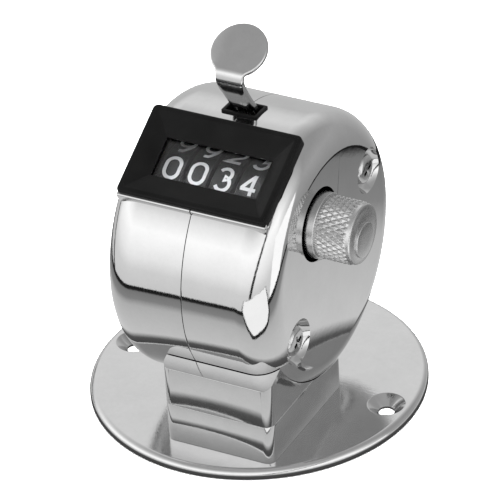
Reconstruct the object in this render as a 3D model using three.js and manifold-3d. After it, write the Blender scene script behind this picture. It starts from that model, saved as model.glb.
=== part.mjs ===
// Desk hand tally counter: a chromed drum housing on a saddle block and a round screw-down base.
// Millimetres, +Z up. X runs along the number wheel shaft (reset knob on +X), the window faces -Y.
// The origin is the centre of the base plate's underside.
import * as THREE from 'three';
import { mergeVertices } from 'three/addons/utils/BufferGeometryUtils.js';
import Module from 'manifold-3d';

const wasm = await Module();
wasm.setup();

// ---- driving dimensions ------------------------------------------------------------------------
const DEG = Math.PI / 180;
const BASE = { radius: 27.5, thick: 1.8, rim: 1.1, holePitch: 46, holeRadius: 1.35, sinkRadius: 3.05 };
const DRUM = { radius: 23, halfWidth: 15, edge: 5.6, wall: 1.2, axisZ: 28.1, seamGap: 0.03 };
const BLOCK = { x0: -5.1, x1: 14.0, y0: -22.2, y1: 2.6, corner: 1.6, seamZ: 8.7, topZ: 15.6 };
const WINDOW = {
  tilt: 29.4 * DEG, front: 23.3, halfWidth: 13.05, halfHeight: 8.1, skirt: 1.75,
  openX: 9.25, openU: 3.45, sill: 1.5, rim: 0.9,
};
const SHAFT = { y: -4.2, z: 36.5, radius: 1.5, x0: -13.2, x1: 20.6 };
const WHEEL = { radius: 8.5, width: 4.0, pitch: 4.54, unitsX: 5.5, bore: 1.58, hub: 2.15, recess: 1.3 };
const RING = { teeth: 20, tip: 6.2, root: 7.0 };
const PINION = { teeth: 6, tip: 2.2, root: 1.2, offset: 4.5, thick: 0.8, bore: 0.58 };
const RATCHET = { teeth: 10, tip: 5.6, root: 4.6, x0: 7.95, x1: 8.85 };
const KNOB = { hole: 5.9, flange: 5.35, radius: 5.05, endX: 22.6, bossDrop: 1.0 };
const PLATE = { thick: 0.8, radius: 19.9, leftX: -12.6, rightX: 11.2 };
const PILLAR = { y: 13.1, z: 8.3, radius: 2.0, x0: -13.7, x1: 12.4 };
const LEVER = { pivotY: -13.0, pivotZ: 41.0, width: 4.9, thick: 0.95, padRadius: 4.7, padTilt: 33 * DEG };
const ARM = { left: -11.4, right: 9.9, thick: 0.8, radius: 1.9, endY: 3.4, endZ: 46.0 };
const FEED = { y: 1.2, z: 44.6, pin: 0.7 };
const CHECK = { y: -12.6, z: 27.6, pin: 0.7 };
const ROD = { y: 2.9, z: 29.2, radius: 0.8 };
const FREE = 0.12; // clearance between pieces that only rest on or pass each other

// ---- solids and placing ------------------------------------------------------------------------
function solid(geometry) {
  const bare = geometry.clone();
  bare.deleteAttribute('normal');
  bare.deleteAttribute('uv');
  const merged = mergeVertices(bare, 1e-5);
  const vertProperties = new Float32Array(merged.attributes.position.array);
  const triVerts = new Uint32Array(merged.index.array);
  let body = new wasm.Manifold(new wasm.Mesh({ numProp: 3, vertProperties, triVerts }));
  if (body.volume() < 0) {
    for (let i = 0; i < triVerts.length; i += 3) {
      [triVerts[i], triVerts[i + 1]] = [triVerts[i + 1], triVerts[i]];
    }
    body = new wasm.Manifold(new wasm.Mesh({ numProp: 3, vertProperties, triVerts }));
  }
  return body;
}

function surface(body) {
  const mesh = body.getMesh();
  const geometry = new THREE.BufferGeometry();
  geometry.setAttribute('position', new THREE.BufferAttribute(new Float32Array(mesh.vertProperties), 3));
  geometry.setIndex(new THREE.BufferAttribute(new Uint32Array(mesh.triVerts), 1));
  geometry.computeVertexNormals();
  return geometry;
}

function box(x0, x1, y0, y1, z0, z1, matrix) {
  const geometry = new THREE.BoxGeometry(x1 - x0, y1 - y0, z1 - z0);
  geometry.translate((x0 + x1) / 2, (y0 + y1) / 2, (z0 + z1) / 2);
  if (matrix) geometry.applyMatrix4(matrix);
  return solid(geometry);
}

// A shape drawn in (y, z) and stretched from x0 to x1.
const alongX = new THREE.Matrix4().makeBasis(
  new THREE.Vector3(0, 1, 0), new THREE.Vector3(0, 0, 1), new THREE.Vector3(1, 0, 0));
function extrudeX(shape, x0, x1) {
  const geometry = new THREE.ExtrudeGeometry(shape, { depth: x1 - x0, bevelEnabled: false, curveSegments: 8 });
  geometry.applyMatrix4(alongX).translate(x0, 0, 0);
  return solid(geometry);
}

function rodX(radius, x0, x1, y = 0, z = 0, sides = 20) {
  const geometry = new THREE.CylinderGeometry(radius, radius, x1 - x0, sides);
  geometry.rotateZ(-Math.PI / 2).translate((x0 + x1) / 2, y, z);
  return solid(geometry);
}

function rodZ(radius, z0, z1, x = 0, y = 0, sides = 24, topRadius = radius) {
  const geometry = new THREE.CylinderGeometry(topRadius, radius, z1 - z0, sides);
  geometry.rotateX(Math.PI / 2).translate(x, y, (z0 + z1) / 2);
  return solid(geometry);
}

// A profile of [axial, radius] pairs turned about the X axis.
function turnX(profile, sides = 48) {
  const points = profile.map(([along, radius]) => new THREE.Vector2(radius, along));
  return solid(new THREE.LatheGeometry(points, sides).rotateZ(-Math.PI / 2));
}

function turnZ(profile, sides = 48) {
  const points = profile.map(([along, radius]) => new THREE.Vector2(radius, along));
  return solid(new THREE.LatheGeometry(points, sides).rotateX(Math.PI / 2));
}

function arc(centre, radius, from, to, steps) {
  return Array.from({ length: steps + 1 }, (_, i) => {
    const angle = from + (to - from) * i / steps;
    return [centre[0] + radius * Math.cos(angle), centre[1] + radius * Math.sin(angle)];
  });
}

function polygon(points) {
  return new THREE.Shape(points.map(([a, b]) => new THREE.Vector2(a, b)));
}

function circleHole(shape, y, z, radius) {
  const hole = new THREE.Path();
  hole.absarc(y, z, radius, 0, 2 * Math.PI, true);
  shape.holes.push(hole);
}

// A straight link with round ends of radius r0 and r1 about two points.
function link([y0, z0], r0, [y1, z1], r1) {
  const heading = Math.atan2(z1 - z0, y1 - y0);
  return polygon([
    ...arc([y0, z0], r0, heading + Math.PI / 2, heading + 1.5 * Math.PI, 8),
    ...arc([y1, z1], r1, heading - Math.PI / 2, heading + Math.PI / 2, 8),
  ]);
}

function gearOutline(teeth, root, tip, duty, phase = 0) {
  const step = 2 * Math.PI / teeth;
  const points = [];
  for (let i = 0; i < teeth; i++) {
    const middle = i * step + phase;
    for (const [offset, radius] of [[-duty, root], [-duty * 0.45, tip], [duty * 0.45, tip], [duty, root]]) {
      points.push([radius * Math.cos(middle + offset * step), radius * Math.sin(middle + offset * step)]);
    }
  }
  return polygon(points);
}

function union(bodies) {
  return bodies.reduce((sum, body) => sum.add(body));
}

function coil(radius, wire, x0, x1, turns) {
  const points = [];
  for (let i = 0; i <= turns * 10; i++) {
    const angle = i * Math.PI / 5;
    const x = x0 + (x1 - x0) * i / (turns * 10);
    points.push(new THREE.Vector3(x, radius * Math.cos(angle), radius * Math.sin(angle)));
  }
  const section = polygon(arc([0, 0], wire, 0, 2 * Math.PI * 4 / 5, 4));
  const extrudePath = new THREE.CatmullRomCurve3(points);
  return solid(new THREE.ExtrudeGeometry(section, { extrudePath, steps: turns * 10 }));
}

// ---- materials ---------------------------------------------------------------------------------
const finish = (color, roughness, metalness) => () => new THREE.MeshStandardMaterial({ color, roughness, metalness });
const chrome = finish(0xd9dbde, 0.08, 1);
const brushed = finish(0xc4c6c8, 0.3, 1);
const steel = finish(0x9b9da0, 0.35, 1);
const brass = finish(0xb8975a, 0.35, 1);
const black = finish(0x17181a, 0.45, 0);
const wheelGrey = finish(0x34363a, 0.6, 0);
const clear = finish(0xe8eef2, 0.05, 0);
const ivory = finish(0xd8d4c8, 0.5, 0);

const counter = new THREE.Group();

function place(name, body, material, parent = counter) {
  const mesh = new THREE.Mesh(surface(body), material());
  mesh.name = name;
  parent.add(mesh);
  return mesh;
}

function groupAt(x, y, z, tilt = 0) {
  const group = new THREE.Group();
  group.position.set(x, y, z);
  group.rotation.x = tilt;
  counter.add(group);
  return group;
}

// ---- base plate and saddle block ---------------------------------------------------------------
function basePlate() {
  const { radius, thick, rim } = BASE;
  const edge = arc([thick - rim, radius - rim], rim, Math.PI / 2, 0, 3);
  let plate = turnZ([[0, 0], [0, radius - 0.3], [0.3, radius], ...edge, [thick, 0]], 64);
  for (const side of [-1, 1]) {
    const x = side * BASE.holePitch / 2;
    plate = plate.subtract(rodZ(BASE.holeRadius, -1, thick + 1, x, 0));
    plate = plate.subtract(rodZ(BASE.holeRadius, 0.25, thick + 0.01, x, 0, 32, BASE.sinkRadius));
  }
  for (const x of BLOCK_SCREWS.xs) {
    plate = plate.subtract(rodZ(BLOCK_SCREWS.shank + FREE, -1, thick + 1, x, BLOCK_SCREWS.y));
    plate = plate.subtract(rodZ(BLOCK_SCREWS.head + FREE, -0.01, 1.3, x, BLOCK_SCREWS.y, 24, BLOCK_SCREWS.shank));
  }
  return plate;
}

const BLOCK_SCREWS = { xs: [0.6, 8.4], y: -17.8, shank: 1.25, head: 2.7, topZ: 12 };
const SADDLE_SCREWS = { xs: [-2.9, 4.5], tilt: -45 * DEG, shank: 1.1, head: 2.1, length: 3.4 };

function blockOutline() {
  const { x0, x1, y0, y1, corner } = BLOCK;
  const q = Math.PI / 2;
  return polygon([
    ...arc([x0 + corner, y0 + corner], corner, 2 * q, 3 * q, 4),
    ...arc([x1 - corner, y0 + corner], corner, 3 * q, 4 * q, 4),
    ...arc([x1 - corner, y1 - corner], corner, 0, q, 4),
    ...arc([x0 + corner, y1 - corner], corner, q, 2 * q, 4),
  ]);
}

function blockPiece(z0, z1) {
  const geometry = new THREE.ExtrudeGeometry(blockOutline(), { depth: z1 - z0, bevelEnabled: false });
  let piece = solid(geometry.translate(0, 0, z0));
  piece = piece.subtract(drumSolid(FREE));
  for (const x of BLOCK_SCREWS.xs) {
    piece = piece.subtract(rodZ(BLOCK_SCREWS.shank + FREE, 0, BLOCK_SCREWS.topZ + 0.4, x, BLOCK_SCREWS.y));
  }
  return piece;
}

function saddleUpper() {
  const lead = new THREE.Matrix4().makeRotationX(24 * DEG);
  lead.setPosition(0, BLOCK.y0, BLOCK.topZ - 0.3);
  let piece = blockPiece(BLOCK.seamZ, BLOCK.topZ + 1.2).subtract(box(-20, 20, -20, 20, 0, 12, lead));
  for (const x of SADDLE_SCREWS.xs) piece = piece.subtract(saddleScrewHole(x));
  return piece;
}

const saddleFrame = new THREE.Matrix4().makeRotationX(SADDLE_SCREWS.tilt).setPosition(0, 0, DRUM.axisZ);

function saddleScrewHole(x) {
  const { radius } = DRUM;
  const bore = new THREE.CylinderGeometry(SADDLE_SCREWS.shank + 0.3, SADDLE_SCREWS.shank + 0.3, 8, 20);
  bore.rotateX(Math.PI / 2).translate(x, 0, -radius + 4 - SADDLE_SCREWS.length - 0.3).applyMatrix4(saddleFrame);
  return solid(bore);
}

function countersunkScrew() {
  const { shank, head, topZ } = BLOCK_SCREWS;
  const blank = rodZ(shank, 0, topZ).add(rodZ(head, 0.05, 1.25, 0, 0, 24, shank));
  return blank.subtract(crossRecess(2.6, 0.6, 0.8));
}

// A cross recess cut upward into a head that faces -Z.
function crossRecess(span, slot, depth) {
  const half = span / 2;
  return box(-half, half, -slot / 2, slot / 2, -1, depth).add(box(-slot / 2, slot / 2, -half, half, -1, depth));
}

function saddleScrew() {
  const { head, shank, length } = SADDLE_SCREWS;
  const inner = DRUM.radius - DRUM.wall - 0.3;
  const blank = rodZ(head, -inner, -inner + 1.2).add(rodZ(shank, -DRUM.radius - length, -inner + 0.2));
  const slot = box(-2.2, 2.2, -0.3, 0.3, -inner + 0.75, -inner + 2);
  return blank.subtract(slot);
}

// ---- drum housing ------------------------------------------------------------------------------
function drumProfile(radius, halfWidth, edge, from, steps = 5) {
  const bend = arc([halfWidth - edge, radius - edge], edge, Math.PI / 2, 0, steps);
  return [[from, 0], [from, radius], ...bend, [halfWidth, 0]];
}

function drumSolid(grow) {
  const profile = drumProfile(DRUM.radius + grow, DRUM.halfWidth + grow, DRUM.edge + grow, 0);
  const half = turnX(profile, 60);
  return half.add(half.mirror([1, 0, 0])).translate([0, 0, DRUM.axisZ]);
}

const windowFrame = new THREE.Matrix4().makeRotationX(WINDOW.tilt).setPosition(0, 0, DRUM.axisZ);
const PLINTH = { halfWidth: 12.6, low: -8.42, high: 7.75, top: WINDOW.front - WINDOW.skirt - 0.1 };
const SILL = { depth: 0.85, top: WINDOW.front - 0.95 };
const SLOT = { halfWidth: 3.0, y0: -0.85, y1: 2.95 };

function caseShell() {
  const { radius, halfWidth, edge, wall, seamGap, axisZ } = DRUM;
  const outer = turnX([
    [seamGap, 0], [seamGap, radius - 0.12], [seamGap + 0.1, radius],
    ...drumProfile(radius, halfWidth, edge, 0).slice(2),
  ], 60).translate([0, 0, axisZ]);
  const plinth = box(seamGap, PLINTH.halfWidth, PLINTH.low, PLINTH.high, 17, PLINTH.top, windowFrame);
  const sill = box(seamGap, PLINTH.halfWidth + 0.4, PLINTH.low, PLINTH.low + SILL.depth, 20, SILL.top, windowFrame);
  const inner = turnX(drumProfile(radius - wall, halfWidth - wall, edge - wall, -1, 3), 36).translate([0, 0, axisZ]);
  const seat = box(-13.15, 13.15, PLINTH.low + SILL.depth, 8.2, PLINTH.top, 30, windowFrame);
  const opening = box(-11, 11, -5.5, 5.7, 10, 30, windowFrame);
  const slot = box(-SLOT.halfWidth, SLOT.halfWidth, SLOT.y0, SLOT.y1, axisZ + 15, axisZ + 30);
  return outer.add(plinth).subtract(seat).add(sill).subtract(inner).subtract(opening).subtract(slot);
}

const pillarSpots = [[PILLAR.y, DRUM.axisZ + PILLAR.z], [-PILLAR.y, DRUM.axisZ - PILLAR.z]];

function rightCase() {
  let shell = caseShell();
  const inside = DRUM.halfWidth - DRUM.wall;
  for (const [y, z] of pillarSpots) {
    const dish = turnX([[13.75, 0], [13.75, 2.75], [14.2, 2.8], [15.1, 3.75], [15.1, 0]], 32).translate([0, y, z]);
    shell = shell.add(rodX(4.6, 12.5, inside + 0.3, y, z, 32)).subtract(dish);
    shell = shell.subtract(rodX(1.6, 12, 14, y, z));
  }
  shell = shell.subtract(rodX(KNOB.hole, 12, 16, SHAFT.y, SHAFT.z, 48));
  return shell.subtract(saddleScrewHole(SADDLE_SCREWS.xs[1]));
}

function leftCase() {
  let shell = caseShell().mirror([1, 0, 0]);
  const inside = DRUM.halfWidth - DRUM.wall;
  for (const [y, z] of pillarSpots) {
    const socket = rodX(3.4, -inside - 0.3, -12.8, y, z).subtract(rodX(PILLAR.radius + 0.1, -inside, -12, y, z));
    shell = shell.add(socket);
  }
  return shell.subtract(saddleScrewHole(SADDLE_SCREWS.xs[0]));
}

function caseScrew() {
  const blank = rodX(1.25, 7.5, 14).add(turnX([[13.85, 0], [13.85, 2.45], [14.4, 2.35], [14.75, 1.5], [14.85, 0]], 32));
  const recess = box(14.25, 16, -1.5, 1.5, -0.28, 0.28).add(box(14.25, 16, -0.28, 0.28, -1.5, 1.5));
  return blank.subtract(recess);
}

// ---- window ------------------------------------------------------------------------------------
function taperedOpening() {
  const { halfWidth, halfHeight, rim, openX, openU, front, sill } = WINDOW;
  const geometry = new THREE.BoxGeometry(2, 2, 1);
  const spots = geometry.attributes.position;
  for (let i = 0; i < spots.count; i++) {
    const upper = spots.getZ(i) > 0;
    const reachX = upper ? halfWidth - rim : openX;
    const reachU = upper ? halfHeight - rim : openU;
    spots.setXYZ(i, spots.getX(i) * reachX, spots.getY(i) * reachU, upper ? front + 0.001 : front - sill);
  }
  return solid(geometry);
}

function bezelFrame() {
  const { halfWidth, halfHeight, front, skirt, openX, openU } = WINDOW;
  const outline = new THREE.Shape();
  const corner = 0.7;
  const [w, h] = [halfWidth - corner, halfHeight - corner];
  const q = Math.PI / 2;
  const rounded = [
    ...arc([-w, -h], corner, 2 * q, 3 * q, 3), ...arc([w, -h], corner, 3 * q, 4 * q, 3),
    ...arc([w, h], corner, 0, q, 3), ...arc([-w, h], corner, q, 2 * q, 3),
  ];
  outline.setFromPoints(rounded.map(([x, u]) => new THREE.Vector2(x, u)));
  const bevel = { depth: skirt - 0.25, bevelEnabled: true, bevelSize: 0, bevelThickness: 0 };
  const plate = solid(new THREE.ExtrudeGeometry(outline, { ...bevel, bevelEnabled: false }).translate(0, 0, front - skirt));
  const cap = solid(new THREE.ExtrudeGeometry(outline, { depth: 0.25, bevelEnabled: false })
    .scale(1 - 0.2 / halfWidth, 1 - 0.2 / halfHeight, 1).translate(0, 0, front - 0.25));
  const collar = box(-10.4, 10.4, -4.9, 5.2, 20.7, front - skirt + 0.3);
  const sillNotch = box(-14, 14, -9, PLINTH.low + SILL.depth + 0.1, 20, SILL.top + 0.1);
  const windowHole = box(-openX, openX, -openU, openU, 19, front);
  const lensPocket = box(-9.9, 9.9, -4.3, 4.3, 20, 21.5);
  return plate.add(cap).add(collar).subtract(sillNotch).subtract(taperedOpening())
    .subtract(windowHole).subtract(lensPocket);
}

const windowLens = () => box(-9.6, 9.6, -4.0, 4.0, 20.75, 21.3);

// Black guide lining the lever's slot, with a thin lip that rests on the drum.
function leverGuide() {
  const under = DRUM.radius + 0.08;
  const [y0, y1] = [SLOT.y0 - 0.3, SLOT.y1 + 0.3];
  const lip = polygon([
    ...arc([0, 0], under, Math.acos(y1 / under), Math.acos(y0 / under), 4),
    ...arc([0, 0], under + 0.65, Math.acos(y0 / under), Math.acos(y1 / under), 4),
  ]);
  const sleeve = box(-2.85, 2.85, SLOT.y0 + 0.15, SLOT.y1 - 0.15, DRUM.radius - 0.8, DRUM.radius + 0.3);
  return extrudeX(lip, -3.3, 3.3).add(sleeve).subtract(box(-2.6, 2.6, SLOT.y0 + 0.35, SLOT.y1 - 0.35, 15, 30));
}

// ---- number wheels and carry -------------------------------------------------------------------
// The carry pinions sit on the line from the shaft to the rod that holds the carry plates.
const PINION_HEADING = Math.atan2(ROD.z - SHAFT.z, ROD.y - SHAFT.y);

function numberWheel(withRing) {
  const half = WHEEL.width / 2;
  const { radius, bore, hub, recess } = WHEEL;
  const rim = turnX([
    [-half, bore], [-half, radius - 0.15], [-half + 0.15, radius], [half - 0.15, radius], [half, radius - 0.15],
    [half, bore], [-half, bore],
  ], 40);
  if (!withRing) return rim;
  const ring = gearOutline(RING.teeth, RING.root, RING.tip, 0.24, PINION_HEADING + Math.PI / RING.teeth);
  circleHole(ring, 0, 0, hub);
  return rim.subtract(extrudeX(ring, half - recess, half + 1));
}

const unitsRatchet = () => {
  const points = [];
  const step = 2 * Math.PI / RATCHET.teeth;
  for (let i = 0; i < RATCHET.teeth; i++) {
    for (let k = 0; k <= 3; k++) {
      const angle = step * (i + k / 3);
      const radius = RATCHET.root + (RATCHET.tip - RATCHET.root) * k / 3;
      points.push([radius * Math.cos(angle), radius * Math.sin(angle)]);
    }
  }
  const shape = polygon(points);
  circleHole(shape, 0, 0, WHEEL.bore);
  return extrudeX(shape, RATCHET.x0, RATCHET.x1);
};

function carryPlate(x) {
  const reach = [ROD.y - SHAFT.y, ROD.z - SHAFT.z];
  const disc = polygon(arc([0, 0], 7.6, 0, 2 * Math.PI * 23 / 24, 23));
  const body = extrudeX(disc, x - 0.14, x + 0.14).add(extrudeX(link([0, 0], 2, reach, 1.7), x - 0.14, x + 0.14));
  const stubAt = [PINION.offset * Math.cos(PINION_HEADING), PINION.offset * Math.sin(PINION_HEADING)];
  const stub = rodX(PINION.bore - 0.08, x - 1.35, x, ...stubAt, 12);
  return body.add(stub).subtract(rodX(WHEEL.bore + 0.1, x - 1, x + 1)).subtract(rodX(ROD.radius + 0.06, x - 1, x + 1, ...reach));
}

function carryPinion() {
  const shape = gearOutline(PINION.teeth, PINION.root, PINION.tip, 0.24, PINION_HEADING);
  circleHole(shape, 0, 0, PINION.bore);
  return extrudeX(shape, -PINION.thick / 2, PINION.thick / 2);
}

// ---- reset shaft and knob ----------------------------------------------------------------------
function wheelShaft() {
  const groove = box(SHAFT.x0 + 1.4, 7.8, -0.3, 0.3, SHAFT.radius - 0.35, 3);
  const clipGroove = rodX(3, -12.95, -12.65).subtract(rodX(1.1, -13.1, -12.5));
  return rodX(SHAFT.radius, SHAFT.x0, SHAFT.x1).subtract(groove).subtract(clipGroove);
}

function retainingClip() {
  const ring = rodX(2.6, -12.92, -12.68).subtract(rodX(1.2, -14, -12));
  return ring.subtract(box(-14, -12, -0.9, 0.9, 0, 4));
}

function resetKnob() {
  const { flange, radius, endX, bossDrop } = KNOB;
  const knob = turnX([
    [12.9, SHAFT.radius + 0.1], [12.9, 3.2], [14.7, 3.2], [14.7, flange], [16.4, flange], [16.6, radius],
    [endX - 0.65, radius], [endX - 0.25, radius - 0.4], [endX, radius - 1.15], [endX, 0], [SHAFT.x1 + 0.1, 0],
    [SHAFT.x1 + 0.1, SHAFT.radius + 0.1], [12.9, SHAFT.radius + 0.1],
  ], 36);
  const boss = turnX([[endX - 0.3, 0], [endX - 0.3, 2.9], [endX + 0.3, 2.85], [endX + 0.4, 2.4], [endX + 0.45, 0]], 32);
  return knob.add(boss.translate([0, 0, -bossDrop]));
}

// ---- frame plates, pillars and pins ------------------------------------------------------------
function framePlate(x, pinHoles) {
  const shape = polygon(arc([0, DRUM.axisZ], PLATE.radius, 0, 2 * Math.PI * 47 / 48, 47));
  circleHole(shape, SHAFT.y, SHAFT.z, SHAFT.radius + 0.1);
  for (const [y, z] of pillarSpots) circleHole(shape, y, z, PILLAR.radius + 0.08);
  for (const [y, z, radius] of pinHoles) circleHole(shape, y, z, radius + 0.07);
  circleHole(shape, 1.5, DRUM.axisZ - 9.5, 6.2);
  return extrudeX(shape, x, x + PLATE.thick);
}

function pillar() {
  const { radius, x0, x1 } = PILLAR;
  return rodX(radius, x0, x1).subtract(rodX(1.4, 6.8, x1 + 1));
}

// ---- thumb lever, pawls and springs ------------------------------------------------------------
const stripLine = new THREE.CatmullRomCurve3([
  [3.75, 45.2], [2.3, 47.9], [0.5, 51.4], [-1.45, 54.7], [-2.6, 57.1], [-3.0, 58.6], [-2.75, 59.9], [-1.2, 60.9],
].map(([y, z]) => new THREE.Vector3(0, y, z)));

function stripSection(to, steps) {
  const front = [];
  const back = [];
  for (let i = 0; i <= steps; i++) {
    const spot = stripLine.getPointAt(to * i / steps);
    const run = stripLine.getTangentAt(to * i / steps);
    front.push([spot.y - run.z * LEVER.thick / 2, spot.z + run.y * LEVER.thick / 2]);
    back.unshift([spot.y + run.z * LEVER.thick / 2, spot.z - run.y * LEVER.thick / 2]);
  }
  return polygon([...front, ...back]);
}

function thumbLever() {
  const half = LEVER.width / 2;
  const strip = extrudeX(stripSection(1, 20), -half, half);
  const crossbar = extrudeX(stripSection(0.17, 3), ARM.left, ARM.right + ARM.thick);
  const pad = new THREE.CylinderGeometry(LEVER.padRadius, LEVER.padRadius, LEVER.thick, 40);
  pad.rotateX(Math.PI / 2).rotateX(LEVER.padTilt).translate(0, 0.62, 61.95);
  const flange = polygon([[0.3, 52.1], [0.75, 52.3], [-0.3, 54.3], [-1.5, 56.6], [-1.9, 59.0], [-2.9, 58.9], [-1.5, 55]]);
  const flanges = [-half, half - 0.7].map((x) => extrudeX(flange, x, x + 0.7));
  const arms = [ARM.left, ARM.right].map((x) => {
    const shape = link([LEVER.pivotY, LEVER.pivotZ], ARM.radius, [ARM.endY, ARM.endZ], ARM.radius);
    circleHole(shape, LEVER.pivotY, LEVER.pivotZ, 1.0);
    if (x === ARM.right) circleHole(shape, FEED.y, FEED.z, FEED.pin + 0.06);
    return extrudeX(shape, x, x + ARM.thick);
  });
  return union([strip, crossbar, solid(pad), ...flanges, ...arms]);
}

function feedPawl() {
  const shape = polygon([
    ...arc([0, 0], 1.45, 40 * DEG, 220 * DEG, 8), [0.6, -3.4], [1.5, -6.4], [2.6, -6.1], [2.1, -3.0],
  ]);
  circleHole(shape, 0, 0, FEED.pin + 0.08);
  return extrudeX(shape, RATCHET.x0, RATCHET.x1);
}

function checkPawl() {
  const shape = link([0, 0], 1.4, [2.55, 6.6], 0.5);
  circleHole(shape, 0, 0, CHECK.pin + 0.08);
  return extrudeX(shape, RATCHET.x0, RATCHET.x1);
}

// ---- assembly ----------------------------------------------------------------------------------
place('base_plate', basePlate(), brushed);
place('saddle_block_lower', blockPiece(BASE.thick, BLOCK.seamZ), chrome);
place('saddle_block_upper', saddleUpper(), chrome);
BLOCK_SCREWS.xs.forEach((x, i) => {
  place(`block_screw_${i + 1}`, countersunkScrew(), steel).position.set(x, BLOCK_SCREWS.y, 0);
});
SADDLE_SCREWS.xs.forEach((x, i) => {
  const frame = groupAt(x, 0, DRUM.axisZ, SADDLE_SCREWS.tilt);
  place(`saddle_screw_${i + 1}`, saddleScrew(), steel, frame);
});
place('left_case', leftCase(), chrome);
place('right_case', rightCase(), chrome);
pillarSpots.forEach(([y, z], i) => {
  const where = i === 0 ? 'upper' : 'lower';
  place(`${where}_pillar`, pillar(), brass).position.set(0, y, z);
  place(`${where}_case_screw`, caseScrew(), steel).position.set(0, y, z);
});

const windowGroup = groupAt(0, 0, DRUM.axisZ, WINDOW.tilt);
place('bezel_frame', bezelFrame(), black, windowGroup);
place('window_lens', windowLens(), clear, windowGroup);
place('lever_guide', leverGuide(), black).position.z = DRUM.axisZ;

const sharedPins = [[LEVER.pivotY, LEVER.pivotZ, 0.9], [ROD.y, ROD.z, ROD.radius]];
place('left_frame_plate', framePlate(PLATE.leftX, sharedPins), steel);
place('right_frame_plate', framePlate(PLATE.rightX, [...sharedPins, [CHECK.y, CHECK.z, CHECK.pin]]), steel);

const shaftGroup = groupAt(0, SHAFT.y, SHAFT.z);
place('wheel_shaft', wheelShaft(), steel, shaftGroup);
place('shaft_clip', retainingClip(), steel, shaftGroup);
place('reset_knob', resetKnob(), brushed, shaftGroup);
['units', 'tens', 'hundreds', 'thousands'].forEach((order, i) => {
  const x = WHEEL.unitsX - i * WHEEL.pitch;
  place(`${order}_wheel`, numberWheel(i > 0), wheelGrey, shaftGroup).position.x = x;
  if (i === 0) return;
  place(`carry_plate_${i}`, carryPlate(x + WHEEL.pitch / 2), steel, shaftGroup);
  const pinion = place(`carry_pinion_${i}`, carryPinion(), ivory, shaftGroup);
  pinion.position.set(x + WHEEL.width / 2 - WHEEL.recess / 2 + 0.1,
    PINION.offset * Math.cos(PINION_HEADING), PINION.offset * Math.sin(PINION_HEADING));
});
place('units_ratchet', unitsRatchet(), steel, shaftGroup);
place('carry_plate_rod', rodX(ROD.radius, -12.5, 11.9, ROD.y, ROD.z), steel);

place('lever_pivot_pin', rodX(0.9, -12.5, 11.9, LEVER.pivotY, LEVER.pivotZ), steel);
place('thumb_lever', thumbLever(), brushed);
place('lever_return_spring', coil(1.35, 0.2, 8.0, 9.5, 3), steel).position.set(0, LEVER.pivotY, LEVER.pivotZ);
place('feed_pawl', feedPawl(), brass).position.set(0, FEED.y, FEED.z);
place('feed_pawl_pin', rodX(FEED.pin, 7.85, 10.8, FEED.y, FEED.z), steel);
place('check_pawl', checkPawl(), brass).position.set(0, CHECK.y, CHECK.z);
place('check_pawl_pin', rodX(CHECK.pin, 7.85, 11.9, CHECK.y, CHECK.z), steel);
place('check_pawl_spring', coil(1.0, 0.16, 9.1, 10.9, 3), steel).position.set(0, CHECK.y, CHECK.z);

export default counter;
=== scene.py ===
"""Desk hand tally counter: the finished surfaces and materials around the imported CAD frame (Blender 4.5).

Shapes are drawn in millimetres in the CAD's own frame (origin under the base's centre, +X towards the reset
knob, -Y towards the reader) and are turned into metres when a piece is finished.
"""
import math

import bmesh
import bpy
from mathutils import Matrix, Vector


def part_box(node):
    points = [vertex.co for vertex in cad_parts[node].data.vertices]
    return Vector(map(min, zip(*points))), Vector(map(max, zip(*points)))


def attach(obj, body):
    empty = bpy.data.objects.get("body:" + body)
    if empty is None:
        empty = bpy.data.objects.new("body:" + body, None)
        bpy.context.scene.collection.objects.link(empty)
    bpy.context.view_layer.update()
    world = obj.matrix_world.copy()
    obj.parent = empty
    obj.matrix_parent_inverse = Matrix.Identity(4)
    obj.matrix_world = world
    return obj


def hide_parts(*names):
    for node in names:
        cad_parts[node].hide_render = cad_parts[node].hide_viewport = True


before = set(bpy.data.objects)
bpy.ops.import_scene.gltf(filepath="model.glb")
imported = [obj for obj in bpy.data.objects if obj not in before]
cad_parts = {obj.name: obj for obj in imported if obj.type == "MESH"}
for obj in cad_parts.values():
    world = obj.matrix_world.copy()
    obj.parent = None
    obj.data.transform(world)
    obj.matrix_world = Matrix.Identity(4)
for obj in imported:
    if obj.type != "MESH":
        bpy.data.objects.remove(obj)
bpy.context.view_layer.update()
MM = 0.001


# ---- places and sizes, from the frame ----------------------------------------------------------
def clamp(value):
    return max(0.0, min(1.0, value))


def span(node):
    low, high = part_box(node)
    return low / MM, high / MM


def middle(node):
    low, high = span(node)
    return (low + high) / 2


case_low, case_high = span("right_case")
base_high = span("base_plate")[1]
block_low, block_high = span("saddle_block_lower")

DRUM_Z = (case_low.z + case_high.z) / 2
DRUM_R = (case_high.z - case_low.z) / 2
DRUM_HALF = case_high.x
DRUM_EDGE = 5.6
DRUM_WALL = 1.2
SEAM_HALF = 0.04
BASE_R = base_high.x
BASE_T = base_high.z
HOLE_X = 23.0
TILT = math.radians(29.4)
BEZEL_FRONT = 23.3
BEZEL_HALF = (13.05, 8.1)
WINDOW_HALF = (9.25, 3.45)
BLOCK_TOP = 15.6
BEZEL_SKIRT = 1.75
SHAFT = (middle("wheel_shaft").y, middle("wheel_shaft").z)
WHEEL_R = (span("units_wheel")[1].z - span("units_wheel")[0].z) / 2
SCREWS = [(middle("upper_case_screw").y, middle("upper_case_screw").z),
          (middle("lower_case_screw").y, middle("lower_case_screw").z)]
KNOB_HOLE = 5.9

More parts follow.
